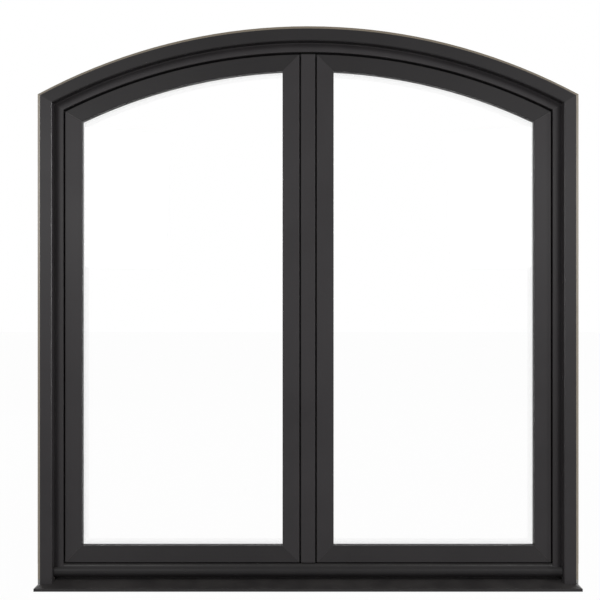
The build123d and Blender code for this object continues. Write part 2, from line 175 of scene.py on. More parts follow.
def arc(centre: Vector, start: Vector, end: Vector, steps: int) -> list[Point]:
    """Divide an arc between two spokes.

    Args:
        centre: Centre of the arc.
        start: First point, measured from the centre.
        end: Last point, measured from the centre.
        steps: Number of equal steps.

    Returns:
        Both ends and the points between them.
    """
    sweep, points = start.angle(end), []
    for step in range(steps + 1):
        before, after = (math.sin(share * sweep / steps) for share in (steps - step, step))
        points.append(tuple(centre + (start * before + end * after) / math.sin(sweep)))
    return points


@dataclass(frozen=True)
class Section:
    """Closed outline of an extrusion.

    Each corner has u into the opening, v towards the room and, where it is rounded, a radius.
    """

    corners: tuple[tuple[float, ...], ...]

    def points(self) -> list[Point]:
        """Round the corners off.

        Returns:
            The outline's points in order.
        """
        outline: list[Point] = []
        spots = [Vector(corner[:2]) for corner in self.corners]
        for index, (here, corner) in enumerate(zip(spots, self.corners)):
            if len(corner) == 2:
                outline.append((here.x, here.y))
                continue
            back = (spots[index - 1] - here).normalized()
            ahead = (spots[(index + 1) % len(spots)] - here).normalized()
            half = back.angle(ahead) / 2
            reach = corner[2] / math.tan(half)
            centre = here + (back + ahead).normalized() * (corner[2] / math.sin(half))
            start, end = here + back * reach - centre, here + ahead * reach - centre
            outline += arc(centre, start, end, METAL.round_steps)
        return outline


@dataclass(frozen=True)
class Cut:
    """Straight cut across the elevation, through two points."""

    start: Point
    end: Point

    def height_at(self, x: float, _depth: float = 0.0) -> float:
        """Height of the cut above a place along the width."""
        share = (x - self.start[0]) / (self.end[0] - self.start[0])
        return self.start[1] + share * (self.end[1] - self.start[1])

    def place_at(self, z: float, _depth: float = 0.0) -> float:
        """Place of the cut along the width, at a height."""
        share = (z - self.start[1]) / (self.end[1] - self.start[1])
        return self.start[0] + share * (self.end[0] - self.start[0])

    def turn_at(self, radius: float, _depth: float = 0.0) -> float:
        """Turn from the crown at which the cut crosses an arc of the head.

        Args:
            radius: Radius of the arc.

        Returns:
            The turn in radians, negative to the left.
        """
        start = Vector((self.start[0], self.start[1] - ELEVATION.centre))
        run = Vector((self.end[0], self.end[1] - ELEVATION.centre)) - start
        a, b, c = run.dot(run), 2 * start.dot(run), start.dot(start) - radius * radius
        root = math.sqrt(b * b - 4 * a * c)
        crossings = (-b - root) / (2 * a), (-b + root) / (2 * a)
        spot = start + run * min(crossings, key=lambda share: abs(share - 0.5))
        return math.atan2(spot.x, spot.y)

    def mirrored(self) -> "Cut":
        """The same cut on the other side of the window."""
        return Cut((-self.start[0], self.start[1]), (-self.end[0], self.end[1]))


def eased(rule: EndRule, gap: float) -> EndRule:
    """Move the end that a rule gives along the member by a gap."""
    return lambda line, depth: rule(line, depth) + gap


@dataclass(frozen=True)
class SillSlope:
    """Fall of the sub-sill's nosing, which the casings stand on."""

    nose_height: float = 0.008
    fall: float = math.radians(12.0)
    clearance: float = 0.0003

    def height_at(self, _x: float, depth: float) -> float:
        """Height of the slope at a depth, with the clearance over it."""
        run = depth - DEPTHS.nose_front
        return self.nose_height + run * math.tan(self.fall) + self.clearance


def skin(bm: bmesh.types.BMesh, near: Verts, far: Verts, closed: bool = True) -> None:
    """Join two matching rows of corners by a band of faces, closed or open."""
    for i in range(0 if closed else 1, len(near)):
        bm.faces.new((near[i - 1], near[i], far[i], far[i - 1]))


def make_shell(name: str, rings: Sequence[Ring]) -> Object:
    """Skin a row of matching rings and close both ends.

    Args:
        name: Name of the piece.
        rings: Closed rings of equally many points.

    Returns:
        The piece, linked to the scene.
    """
    bm = bmesh.new()
    rows = [[bm.verts.new(point) for point in ring] for ring in rings]
    for near, far in zip(rows, rows[1:]):
        skin(bm, near, far)
    bm.faces.new(rows[0])
    bm.faces.new(rows[-1])
    return make_piece(name, bm)


def make_piece(name: str, bm: bmesh.types.BMesh) -> Object:
    """Turn finished mesh work into a piece of the scene.

    Args:
        name: Name of the piece.
        bm: The mesh, which is used up.

    Returns:
        The piece, linked to the scene.
    """
    bmesh.ops.recalc_face_normals(bm, faces=bm.faces)
    mesh = bpy.data.meshes.new(name)
    bm.to_mesh(mesh)
    bm.free()
    mesh.shade_smooth()
    mesh.set_sharp_from_angle(angle=SHARP_ANGLE)
    made = bpy.data.objects.new(name, mesh)
    bpy.context.scene.collection.objects.link(made)
    flat = made.modifiers.new("Flat faces stay flat", "WEIGHTED_NORMAL")
    flat.keep_sharp = True
    return made


@dataclass(frozen=True)
class Member:
    """One length of an extrusion, cut at both ends.

    Uprights measure u from x = origin, level members from z = origin, and arched ones
    from the head's outer face, with origin added to u.
    """

    section: Section
    run: Run
    origin: float
    start: EndRule
    end: EndRule
    facing: float = 1.0

    def rings(self) -> list[Ring]:
        """Work out the section's place along the member.

        Returns:
            Rings from the member's start to its end.
        """
        steps = METAL.arc_steps if self.run is Run.ARCHED else 1
        spans = []
        for u, v in self.section.points():
            line = self.origin + self.facing * u
            if self.run is Run.ARCHED:
                line = ELEVATION.head_radius - self.origin - u
            spans.append((line, v, self.start(line, v), self.end(line, v)))
        return [
            [self._spot(line, v, a + (b - a) * step / steps) for line, v, a, b in spans]
            for step in range(steps + 1)
        ]

    def _spot(self, line: float, v: float, along: float) -> Vector:
        """Place of one point: its line, its depth and its distance or turn along."""
        if self.run is Run.UPRIGHT:
            return Vector((line, v, along))
        if self.run is Run.LEVEL:
            return Vector((along, v, line))
        return Vector((line * math.sin(along), v, ELEVATION.centre + line * math.cos(along)))


def dress(piece: Object, finish: Material) -> None:
    """Give a piece or a CAD node one finish all over."""
    slots = piece.data.materials
    if len(slots) == 0:
        slots.append(finish)
    for index in range(len(slots)):
        slots[index] = finish


class Wiring:
    """Adds nodes to one tree and joins their sockets."""

    def __init__(self, tree: Tree) -> None:
        """Start on an emptied tree."""
        self.tree = tree
        tree.nodes.clear()

    def add(
        self, kind: str, *places: object, settings: Inputs | None = None, **sources: object
    ) -> Sockets:
        """Add a node, set it up and feed it with sockets or plain values.

        Args:
            kind: Blender's name of the node.
            *places: What its first inputs get, in their order.
            settings: Properties of the node.
            **sources: What other inputs get, by name in lower case with underscores.

        Returns:
            The node's outputs.
        """
        made = self.tree.nodes.new(kind)
        for name, value in (settings or {}).items():
            setattr(made, name, value)
        named = {s.name.lower().replace(" ", "_"): s for s in made.inputs if s.enabled}
        pairs = [*zip(places, made.inputs), *((sources[name], named[name]) for name in sources)]
        for source, socket in pairs:
            if isinstance(source, Socket):
                self.tree.links.new(source, socket)
            else:
                socket.default_value = source
        return made.outputs

    def sum(self, operation: str, *terms: object, clamp: bool = False) -> Socket:
        """Work out a number from others, with the result between 0 and 1 where it is clamped."""
        settings = {"operation": operation, "use_clamp": clamp}
        return self.add("ShaderNodeMath", *terms, settings=settings)[0]

    def times(self, first: object, second: object, clamp: bool = False) -> Socket:
        """Product of two numbers."""
        return self.sum("MULTIPLY", first, second, clamp=clamp)

    def less(self, first: object, second: object, clamp: bool = False) -> Socket:
        """First number less the second."""
        return self.sum("SUBTRACT", first, second, clamp=clamp)

    def spread(
        self, value: Socket, low: float, high: float, start: float = 0.0, end: float = 1.0
    ) -> Socket:
        """Map a number from one range to another, smoothly and clamped."""
        settings = {"interpolation_type": "SMOOTHSTEP"}
        return self.add("ShaderNodeMapRange", value, low, high, start, end, settings=settings)[0]

    def noise(
        self, vector: Socket, scale: object, detail: float, distortion: float = 0.0
    ) -> Socket:
        """Soft random figure along a vector, from 0 to 1."""
        sizes = {"scale": scale, "detail": detail, "distortion": distortion}
        return self.add("ShaderNodeTexNoise", vector, **sizes)[0]

    def blend(self, factor: object, first: object, second: object, mode: str = "MIX") -> Socket:
        """Mix two colours; the factor is the share of the second one."""
        settings = {"data_type": "RGBA", "blend_type": mode}
        return self.add("ShaderNodeMix", settings=settings, factor=factor, a=first, b=second)[2]

    def split(self, vector: Socket) -> Sockets:
        """The three numbers of a vector."""
        return self.add("ShaderNodeSeparateXYZ", vector)

    def vector(self, x: Socket, y: Socket, z: Socket) -> Socket:
        """Vector of three numbers."""
        return self.add("ShaderNodeCombineXYZ", x, y, z)[0]

    def drawn_out(self, vector: Socket, along: float) -> Socket:
        """Position for a figure that is drawn out along X."""
        return self.add("ShaderNodeMapping", vector=vector, scale=(along, 1.0, 1.0))[0]

    def bump(self, height: Socket, strength: float, depth: float) -> Socket:
        """Normal of an uneven surface."""
        return self.add("ShaderNodeBump", height=height, strength=strength, distance=depth)[0]


class Effects:
    """Shared surface effects, each one a node group that starts from a position."""

    def __init__(self) -> None:
        """Build every group once."""
        self.arc_space = self._arc_space()
        self.edge_wear = self._edge_wear()
        self.powder = self._powder()
        self.settled_dust = self._settled_dust()
        self.wood_figure = self._wood_figure()

    @staticmethod
    def _start(
        name: str, takes: dict[str, float], *gives: str, kind: str = "NodeSocketFloat"
    ) -> tuple[Wiring, Sockets]:
        """Open a group with named sockets.

        Args:
            name: Name of the effect.
            takes: Numbers that it takes besides the position, with their defaults.
            *gives: Names of its outputs.
            kind: Kind of its outputs.

        Returns:
            Its wiring and what it is given.
        """
        tree = bpy.data.node_groups.new(name, "ShaderNodeTree")
        rows = [("Position", "INPUT", "NodeSocketVector")]
        rows += [(label, "INPUT", "NodeSocketFloat") for label in takes]
        rows += [(label, "OUTPUT", kind) for label in gives]
        for label, side, sort in rows:
            socket = tree.interface.new_socket(name=label, in_out=side, socket_type=sort)
            if label in takes:
                socket.default_value = takes[label]
        wire = Wiring(tree)
        return wire, wire.add("NodeGroupInput")

    def _arc_space(self) -> Tree:
        """Unroll the head: along the arc, inwards from its outer face, and depth."""
        wire, given = self._start("Arc space", {}, "Unrolled", kind="NodeSocketVector")
        x, y, z = wire.split(given["Position"])
        rise = wire.less(z, ELEVATION.centre)
        squares = wire.sum("POWER", x, 2.0), wire.sum("POWER", rise, 2.0)
        reach = wire.sum("SQRT", wire.sum("ADD", *squares))
        along = wire.times(wire.sum("ARCTAN2", x, rise), ELEVATION.head_radius)
        inwards = wire.less(ELEVATION.head_radius, reach)
        wire.add("NodeGroupOutput", wire.vector(along, y, inwards))
        return wire.tree

    def _edge_wear(self) -> Tree:
        """Mask of rubbed arrises, broken up along their length."""
        takes = {"Width": 0.0015, "Patchiness": 0.5}
        wire, given = self._start("Edge wear", takes, "Mask")
        rounded = wire.add("ShaderNodeBevel", given["Width"], settings={"samples": 6})[0]
        flat = wire.add("ShaderNodeNewGeometry")["Normal"]
        dot = {"operation": "DOT_PRODUCT"}
        facing = wire.add("ShaderNodeVectorMath", rounded, flat, settings=dot)["Value"]
        arris = wire.spread(wire.less(1.0, facing), 0.015, 0.12)
        patches = wire.spread(wire.noise(given["Position"], 38.0, 4.0), 0.42, 0.62)
        kept = wire.less(1.0, wire.times(given["Patchiness"], wire.less(1.0, patches)))
        wire.add("NodeGroupOutput", wire.times(arris, kept, clamp=True))
        return wire.tree

    def _powder(self) -> Tree:
        """Orange peel, cloudy film build and specks of a powder coat."""
        wire, given = self._start("Powder coat", {"Peel size": 0.0016}, "Peel", "Film", "Speck")
        spot = given["Position"]
        peel = wire.noise(spot, wire.sum("DIVIDE", 1.0, given["Peel size"]), 1.5)
        specks = wire.spread(wire.noise(spot, 900.0, 0.0), 0.70, 0.78)
        wire.add("NodeGroupOutput", peel, wire.noise(spot, 4.5, 3.0, 0.4), specks)
        return wire.tree

    def _settled_dust(self) -> Tree:
        """Dust on faces that look up, in uneven patches."""
        wire, given = self._start("Settled dust", {"Amount": 0.3}, "Mask")
        normal = wire.add("ShaderNodeNewGeometry")["Normal"]
        upward = wire.spread(wire.split(normal)[2], 0.25, 0.95)
        patches = wire.spread(wire.noise(given["Position"], 16.0, 5.0), 0.30, 0.72, 0.35, 1.0)
        mask = wire.times(wire.times(upward, patches), given["Amount"], clamp=True)
        wire.add("NodeGroupOutput", mask)
        return wire.tree

    def _wood_figure(self) -> Tree:
        """Growth rings, pores and slow colour drift of sawn timber, along X."""
        takes = {"Ring width": 0.0045}
        wire, given = self._start("Wood figure", takes, "Rings", "Pores", "Drift")
        spot = given["Position"]
        along = wire.drawn_out(spot, 0.06)
        _, y, z = wire.split(spot)
        slant = wire.sum("ADD", wire.times(y, 0.55), z)
        depth = wire.sum("ADD", slant, wire.times(wire.noise(along, 9.0, 2.0), 0.045))
        phase = wire.sum("FRACT", wire.sum("DIVIDE", depth, given["Ring width"]))
        early, late = wire.spread(phase, 0.0, 0.75), wire.spread(phase, 0.88, 1.0)
        pores = wire.spread(wire.noise(wire.drawn_out(spot, 0.03), 1500.0, 2.0), 0.56, 0.70)
        drift = wire.noise(along, 14.0, 3.0)
        wire.add("NodeGroupOutput", wire.less(early, late, clamp=True), pores, drift)
        return wire.tree


class Bench(Wiring):
    """Wiring of one material, with the position along its member."""

    def __init__(self, tree: Tree, effects: Effects, run: Run) -> None:
        """Start on an emptied tree and turn the position so that X runs along the member.

        Args:
            tree: Node tree of the material.
            effects: The shared effects.
            run: Direction of the member.
        """
        super().__init__(tree)
        self.effects, self.run = effects, run
        self.spot = self.add("ShaderNodeTexCoord")["Object"]
        if run is Run.ARCHED:
            self.spot = self.effect(effects.arc_space)[0]
        elif run is Run.UPRIGHT:
            x, y, z = self.split(self.spot)
            self.spot = self.vector(z, y, x)

    def effect(self, tree: Tree, **sizes: float) -> Sockets:
        """Outputs of a shared effect at the position."""
        return self.add("ShaderNodeGroup", self.spot, settings={"node_tree": tree}, **sizes)

    def wood(self, ring_width: float) -> Sockets:
        """Figure of sawn timber."""
        return self.effect(self.effects.wood_figure, ring_width=ring_width)

    def dust(self, amount: float) -> Socket:
        """Mask of settled dust."""
        return self.effect(self.effects.settled_dust, amount=amount)[0]


@dataclass(frozen=True)
class Finish:
    """What every finish starts from."""

    name: str
    roughness: float
    wear_width: float = 0.0015
    wear_patchiness: float = 0.5
    wear_share: float = 0.5
    relief: float = 0.5

    def wear(self, wire: Bench) -> Socket:
        """Mask of this finish's rubbed arrises."""
        sizes = {"width": self.wear_width, "patchiness": self.wear_patchiness}
        return wire.effect(wire.effects.edge_wear, **sizes)[0]

    def worn(self, wire: Bench, whole: Socket, bare: Colour) -> Socket:
        """Colour of a surface with rubbed arrises."""
        return wire.blend(wire.times(self.wear(wire), self.wear_share), whole, bare)

    def gloss(
        self, wire: Bench, value: Socket, low: float, high: float, under: float, over: float
    ) -> Socket:
        """Roughness that a figure moves a little under and over the finish's own."""
        return wire.spread(value, low, high, self.roughness - under, self.roughness + over)

    def surface(self, wire: Bench) -> Inputs:
        """Inputs of the shader; each finish has its own."""
        raise NotImplementedError

    @cache
    def build(self, effects: Effects, run: Run) -> Material:
        """Make the finish for one direction of member.

        Args:
            effects: The shared effects.
            run: Direction of the member.

        Returns:
            The material.
        """
        # For a powder coat the materials of the three directions are lit and shaded copies, with
        # painted shade in their colours.
        material = bpy.data.materials.new(f"{self.name} {run.value}")
        material.use_nodes = True
        wire = Bench(material.node_tree, effects, run)
        shader = wire.add("ShaderNodeBsdfPrincipled", **self.surface(wire))[0]
        wire.add("ShaderNodeOutputMaterial", shader)
        return material


@dataclass(frozen=True)
class PowderCoat(Finish):
    """Satin dark bronze powder coat on aluminium, with painted shade: level and arched members get
    their own colours for how the light falls on them.
    """

    wear_width: float = 0.0025
    wear_patchiness: float = 0.40
    wear_share: float = 0.30
    colour: Colour = (0.0325, 0.0300, 0.0315, 1.0)
    # Painted shade: darker or lighter copies of the upright colour, standing in for how the light
    # falls on level and arched members.
    level_colour_painted_shade: Colour = (0.0250, 0.0231, 0.0241, 1.0)
    arched_colour_painted_shade: Colour = (0.0180, 0.0166, 0.0173, 1.0)
    bare: Colour = (0.070, 0.067, 0.064, 1.0)
    dust: Colour = (0.20, 0.19, 0.175, 1.0)
    dust_amount: float = 0.06
    dust_roughness: float = 0.25
    peel_depth: float = 0.00004
    speck_share: float = 0.3
    sheen_level: float = 0.18
    arris_polish: float = 0.20

    def surface(self, wire: Bench) -> Inputs:
        """Coat with a cloudy film, rubbed arrises, dust and a colour set by the member's direction
        as painted shade.

        Args:
            wire: Wiring of the material.

        Returns:
            The shader's inputs.
        """
        coat, settled = wire.effect(wire.effects.powder), wire.dust(self.dust_amount)
        # Painted shade: the colour follows the member's direction, for how the light falls on it.
        painted_shade_tones = dict(zip(Run, (self.colour, self.level_colour_painted_shade, self.arched_colour_painted_shade)))
        cloud = wire.spread(coat["Film"], 0.25, 0.75, 0.90, 1.10)
        shaded_tint = wire.blend(1.0, painted_shade_tones[wire.run], cloud, "MULTIPLY")
        gloss = self.gloss(wire, coat["Film"], 0.2, 0.8, 0.04, 0.05)
        polished = wire.less(gloss, wire.times(self.wear(wire), self.arris_polish))
        height = wire.sum("ADD", coat["Peel"], wire.times(coat["Speck"], self.speck_share))
        dulled = wire.times(settled, self.dust_roughness)
        return {
            "base_color": wire.blend(settled, self.worn(wire, shaded_tint, self.bare), self.dust),
            "roughness": wire.sum("ADD", polished, dulled, clamp=True),
            "normal": wire.bump(height, self.relief, self.peel_depth),
            "ior": 1.5,
            "specular_ior_level": self.sheen_level,
        }


@dataclass(frozen=True)
class Timber(Finish):
    """Clear-lacquered softwood, greyed by the weather on its outer face."""

    wear_patchiness: float = 0.6
    wear_share: float = 0.25
    early: Colour = (0.580, 0.440, 0.285, 1.0)
    late: Colour = (0.430, 0.280, 0.150, 1.0)
    pore: Colour = (0.17, 0.090, 0.045, 1.0)
    greyed: Colour = (0.335, 0.315, 0.265, 1.0)
    ring_width: float = 0.0045
    ring_share: float = 0.75
    ring_relief: float = 0.4
    drift_share: float = 0.35
    pore_share: float = 0.45
    weathering: float = 0.75
    weathered_from: float = DEPTHS.timber_front + 0.0005
    weathered_to: float = DEPTHS.timber_front + 0.004
    lacquer: float = 0.25
    lacquer_roughness: float = 0.22
    grain_depth: float = 0.00012

    def surface(self, wire: Bench) -> Inputs:
        """Rings, pores and a grey outer face under lacquer.

        Args:
            wire: Wiring of the material.

        Returns:
            The shader's inputs.
        """
        wood, depth = wire.wood(self.ring_width), wire.split(wire.spot)[1]
        ringed = wire.blend(wire.times(wood["Rings"], self.ring_share), self.early, self.late)
        drift = wire.spread(wood["Drift"], 0.35, 0.70, 0.0, self.drift_share)
        drifted = wire.blend(drift, ringed, self.late)
        pored = wire.blend(wire.times(wood["Pores"], self.pore_share), drifted, self.pore)
        outer = wire.spread(depth, self.weathered_from, self.weathered_to, self.weathering, 0.0)
        height = wire.less(wire.times(wood["Rings"], self.ring_relief), wood["Pores"])
        return {
            "base_color": wire.blend(outer, self.worn(wire, pored, self.early), self.greyed),
            "roughness": self.gloss(wire, wood["Drift"], 0.3, 0.7, 0.05, 0.07),
            "coat_weight": self.lacquer,
            "coat_roughness": self.lacquer_roughness,
            "normal": wire.bump(height, self.relief, self.grain_depth),
        }


@dataclass(frozen=True)
class Primer(Finish):
    """Grey-white brushed primer on a board."""

    wear_width: float = 0.002
    wear_patchiness: float = 0.7
    wear_share: float = 0.6
    colour: Colour = (0.40, 0.40, 0.38, 1.0)
    thin: Colour = (0.33, 0.29, 0.23, 1.0)
    ring_width: float = 0.006
    ring_relief: float = 0.4
    brush_scale: float = 420.0
    brush_depth: float = 0.00015

    def surface(self, wire: Bench) -> Inputs:
        """Brush marks, thin places and rubbed arrises.

        Args:
            wire: Wiring of the material.

        Returns:
            The shader's inputs.
        """
        marks = wire.noise(wire.drawn_out(wire.spot, 0.04), self.brush_scale, 3.0)
        thinned = wire.blend(wire.spread(marks, 0.52, 0.75, 0.0, 0.5), self.colour, self.thin)
        rings = wire.times(wire.wood(self.ring_width)["Rings"], self.ring_relief)
        return {
            "base_color": self.worn(wire, thinned, self.thin),
            "roughness": self.gloss(wire, marks, 0.2, 0.8, 0.08, 0.08),
            "normal": wire.bump(wire.sum("ADD", marks, rings), self.relief, self.brush_depth),
        }


@dataclass(frozen=True)
class BareMetal(Finish):
    """Uncoated metal with fine lines along the member."""

    wear_width: float = 0.001
    colour: Colour = (0.56, 0.56, 0.57, 1.0)
    dull: Colour = (0.36, 0.36, 0.37, 1.0)
    relief: float = 0.4
    line_size: float = 0.0006
    line_depth: float = 0.00002
    smear_scale: float = 45.0

    def surface(self, wire: Bench) -> Inputs:
        """Fine lines, smears and bright arrises.

        Args:
            wire: Wiring of the material.

        Returns:
            The shader's inputs.
        """
        brushed = wire.noise(wire.drawn_out(wire.spot, 0.02), 1.0 / self.line_size, 3.0)
        smears = wire.noise(wire.spot, self.smear_scale, 4.0)
        toned = wire.blend(wire.spread(smears, 0.35, 0.75, 0.0, 0.6), self.colour, self.dull)
        return {
            "base_color": self.worn(wire, toned, self.colour),
            "metallic": 1.0,
            "roughness": self.gloss(wire, smears, 0.2, 0.8, 0.06, 0.10),
            "normal": wire.bump(brushed, self.relief, self.line_depth),
        }


@dataclass(frozen=True)
class Rubber(Finish):
    """Matt black rubber or foam with a chalky bloom."""

    colour: Colour = (0.018, 0.018, 0.019, 1.0)
    bloom: Colour = (0.060, 0.060, 0.062, 1.0)
    dust_amount: float = 0.25
    sheen_level: float = 0.5
    relief: float = 0.4
    cloud_scale: float = 60.0
    skin_scale: float = 1400.0
    skin_depth: float = 0.00003

    def surface(self, wire: Bench) -> Inputs:
        """Cloudy bloom over a fine skin.

        Args:
            wire: Wiring of the material.

        Returns:
            The shader's inputs.
        """
        cloudy = wire.noise(wire.spot, self.cloud_scale, 4.0)
        chalky = wire.blend(wire.spread(cloudy, 0.45, 0.8, 0.0, 0.5), self.colour, self.bloom)
        skin = wire.noise(wire.spot, self.skin_scale, 1.0)
        return {
            "base_color": wire.blend(wire.dust(self.dust_amount), chalky, self.bloom),
            "roughness": self.gloss(wire, cloudy, 0.3, 0.7, 0.08, 0.06),
            "specular_ior_level": self.sheen_level,
            "normal": wire.bump(skin, self.relief, self.skin_depth),
        }


@dataclass(frozen=True)
class ClearGlass(Finish):
    """Clear float glass with the faintest waviness."""

    relief: float = 0.1
    haze: float = 0.015
    haze_scale: float = 7.0
    wave_scale: float = 12.0
    wave_depth: float = 0.00002

    def surface(self, wire: Bench) -> Inputs:
        """Draw lines and a trace of haze.

        Args:
            wire: Wiring of the material.

        Returns:
            The shader's inputs.
        """
        wave = wire.noise(wire.drawn_out(wire.spot, 0.2), self.wave_scale, 1.0)
        clouds = wire.noise(wire.spot, self.haze_scale, 5.0)
        return {
            "base_color": WHITE,
            "metallic": 0.0,
            "transmission_weight": 1.0,
            "ior": 1.5,
            "roughness": self.gloss(wire, clouds, 0.45, 0.85, 0.0, self.haze),
            "normal": wire.bump(wave, self.relief, self.wave_depth),
        }


class Palette:
    """Finishes of the window, one material for each direction that is used."""

    def __init__(self) -> None:
        """Set out the finishes; their materials are made when first asked for."""
        bronze = "Dark bronze powder coat"
        self.effects = Effects()
        self.cladding = PowderCoat(bronze, 0.42)
        # Mouldings: level lengths painted darker and arched lengths painted as light as the
        # uprights, as painted shade and painted light.
        self.moulding = PowderCoat(
            f"{bronze}, mouldings", 0.42, dust_amount=0.03,
            level_colour_painted_shade=(0.0145, 0.0134, 0.0140, 1.0),
            arched_colour_painted_shade=(0.0325, 0.0300, 0.0315, 1.0),
        )
        self.nosing = PowderCoat(f"{bronze}, nosing", 0.42, dust_amount=0.12)
        self.rubbed_arris = PowderCoat(f"{bronze}, rubbed arris", 0.29)
        self.timber = Timber("Lacquered softwood", 0.42)
        # Painted shade: the head's outer face is painted near-black instead of weathered grey,
        # standing in for the shadow on the timber strip above the arch.
        self.head_timber = Timber(
            "Lacquered softwood, head, painted shade", 0.42, greyed=(0.100, 0.098, 0.080, 1.0)
        )
        self.primer = Primer("Grey primer", 0.62)
        self.spacer = BareMetal("Mill aluminium", 0.38)
        self.handle = BareMetal("Brushed steel", 0.30, colour=(0.62, 0.61, 0.60, 1.0))
        self.rubber = Rubber("Gasket rubber", 0.72)
        # Foam for the pads: near-black with little sheen, real packing painted as dark as the
        # shade in the gaps it fills, so partly painted shade.
        self.foam_painted_shade = Rubber(
            "Black foam", 0.85, sheen_level=0.08,
            colour=(0.005, 0.005, 0.005, 1.0), bloom=(0.012, 0.012, 0.012, 1.0),
        )
        self.glass = ClearGlass("Clear glass", 0.0)

    def pick(self, finish: Finish, run: Run) -> Material:
        """Material of a finish for a direction, made once."""
        return finish.build(self.effects, run)


@dataclass
class SubAssembly:
    """Part of the window that is made and dressed in one go."""

    palette: Palette

    def fix(self, piece: Object, finish: Finish, run: Run, slot: str, node: str = "") -> None:
        """Dress a piece and fix it to the frame.

        Args:
            piece: The finished piece.
            finish: Its finish.
            run: Its direction.
            slot: Material slot of the record; not used.
            node: Name of the CAD node that it replaces, empty for a piece of its own.
        """
        dress(piece, self.palette.pick(finish, run))
        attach(piece, "root")
        if node:
            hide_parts(node)


@dataclass
class Surround(SubAssembly):
    """Lengths up both jambs and round the head, mitred at the springings."""

    def lengths(
        self, section: Section, outer: float, inner: float, foot: EndRule
    ) -> list[tuple[str, Run, list[Ring]]]:
        """Cut a section to its three lengths.

        Args:
            section: The section.
            outer: Offset inwards of the mitre's outer corner.
            inner: Offset inwards of its inner corner.
            foot: Height of the legs' feet.

        Returns:
            Place, direction and rings of each length.
        """
        left = -ELEVATION.half_width
        mitre = Cut(ELEVATION.springing(outer), ELEVATION.springing(inner))
        leg = Member(section, Run.UPRIGHT, left, foot, mitre.height_at).rings()
        head = Member(section, Run.ARCHED, 0.0, mitre.turn_at, mitre.mirrored().turn_at).rings()
        legs = [(hand.value, Run.UPRIGHT, hand.placed(leg)) for hand in Hand]
        return [*legs, ("head", Run.ARCHED, head)]


@dataclass
class Casing(Surround):
    """Flat casing round the jambs and the head."""

    slope: SillSlope = SillSlope()
    arris_from: float = 0.3
    arris_to: float = 0.95

    def section(self) -> Section:
        """Three-sided section, open towards the timber."""
        e, d, m = ELEVATION, DEPTHS, METAL
        front, back = d.casing_front, d.timber_front - m.fit
        return Section((
            (e.casing_outer, back), (e.casing_outer, front, m.arris),
            (e.casing_inner - m.chamfer, front, m.chamfer_round),
            (e.casing_inner, front + m.chamfer, m.chamfer_round),
            (e.casing_inner, back), (e.casing_inner - m.wall, back),
            (e.casing_inner - m.wall, front + m.wall, m.inner_round),
            (e.casing_outer + m.wall, front + m.wall, m.inner_round),
            (e.casing_outer + m.wall, back),
        ))

    def build(self) -> None:
        """Make the lengths, with chamfers and roundings smoother than the flat faces."""
        e, p = ELEVATION, self.palette
        names = {"left": "casing_left_leg", "right": "casing_right_leg", "head": "casing_arch"}
        section, foot = self.section(), self.slope.height_at
        for place, run, rings in self.lengths(section, e.casing_outer, e.casing_inner, foot):
            piece = make_shell(names[place], rings)
            self.fix(piece, p.cladding, run, "cladding", f"casing_{place}")
            piece.data.materials.append(p.pick(p.rubbed_arris, run))
            for face in piece.data.polygons:
                if self.arris_from < -face.normal.y < self.arris_to:
                    face.material_index = 1
        log.info("casing: two legs and an arch, mitred")


@dataclass
class FrameCladding(Surround):
    """Moulded cladding between the casing and the sashes: quirk, swell and land."""

    swell_steps: int = 12
    leg: float = 0.038

    def swell(self) -> list[Point]:
        """Points of the swell, from the quirk to the land, tangent to the land.

        Returns:
            The points, without the land's own.
        """
        e, d = ELEVATION, DEPTHS
        start = Vector((e.casing_inner + e.quirk_width, d.quirk_front))
        end = Vector((e.reveal - e.land_width, d.sash_front))
        across, rise = end.x - start.x, start.y - end.y
        radius = (across * across + rise * rise) / (2 * rise)
        points = []
        for step in range(self.swell_steps):
            turn = math.asin(across / radius) * (1 - step / self.swell_steps)
            points.append((end.x - radius * math.sin(turn), end.y + radius * (1 - math.cos(turn))))
        return points

    def section(self) -> Section:
        """Section with the leg that lines the rebate."""
        e, d, m = ELEVATION, DEPTHS, METAL
        front, leg_end = d.sash_front, d.sash_front + self.leg
        step, land = d.timber_front - m.fit, e.reveal - e.land_width
        outer, inner = e.casing_inner + m.fit, e.reveal - m.wall
        return Section((
            (outer, d.timber_front), (outer, d.quirk_front), *self.swell(),
            (land, front), (e.reveal, front, m.arris),
            (e.reveal, step), (e.reveal, step + m.joint), (e.reveal, leg_end),
            (inner, leg_end), (inner, step + m.joint), (inner, step),
            (inner, front + m.wall, m.inner_round), (land, front + m.wall),
            (e.casing_inner + e.quirk_width + m.wall, d.timber_front),
        ))

    def foot(self, _x: float, depth: float) -> float:
        """Height of the foot: on the sill's shoulder, and on the timber sill behind it."""
        if depth > DEPTHS.timber_front - METAL.fit:
            return ELEVATION.sill_reveal - METAL.fit
        return ELEVATION.bullnose_top + METAL.joint

    def build(self) -> None:
        """Make both jamb lengths and the arched head."""
        mitre = ELEVATION.casing_inner, ELEVATION.reveal
        for place, run, rings in self.lengths(self.section(), *mitre, self.foot):
            name, node = f"jamb_moulding_{place}", f"jamb_cladding_{place}"
            if run is Run.ARCHED:
                name, node = "head_moulding", "head_cladding"
            self.fix(make_shell(name, rings), self.palette.moulding, run, "cladding", node)
        log.info("frame cladding: two jambs and an arch with quirk and swell")


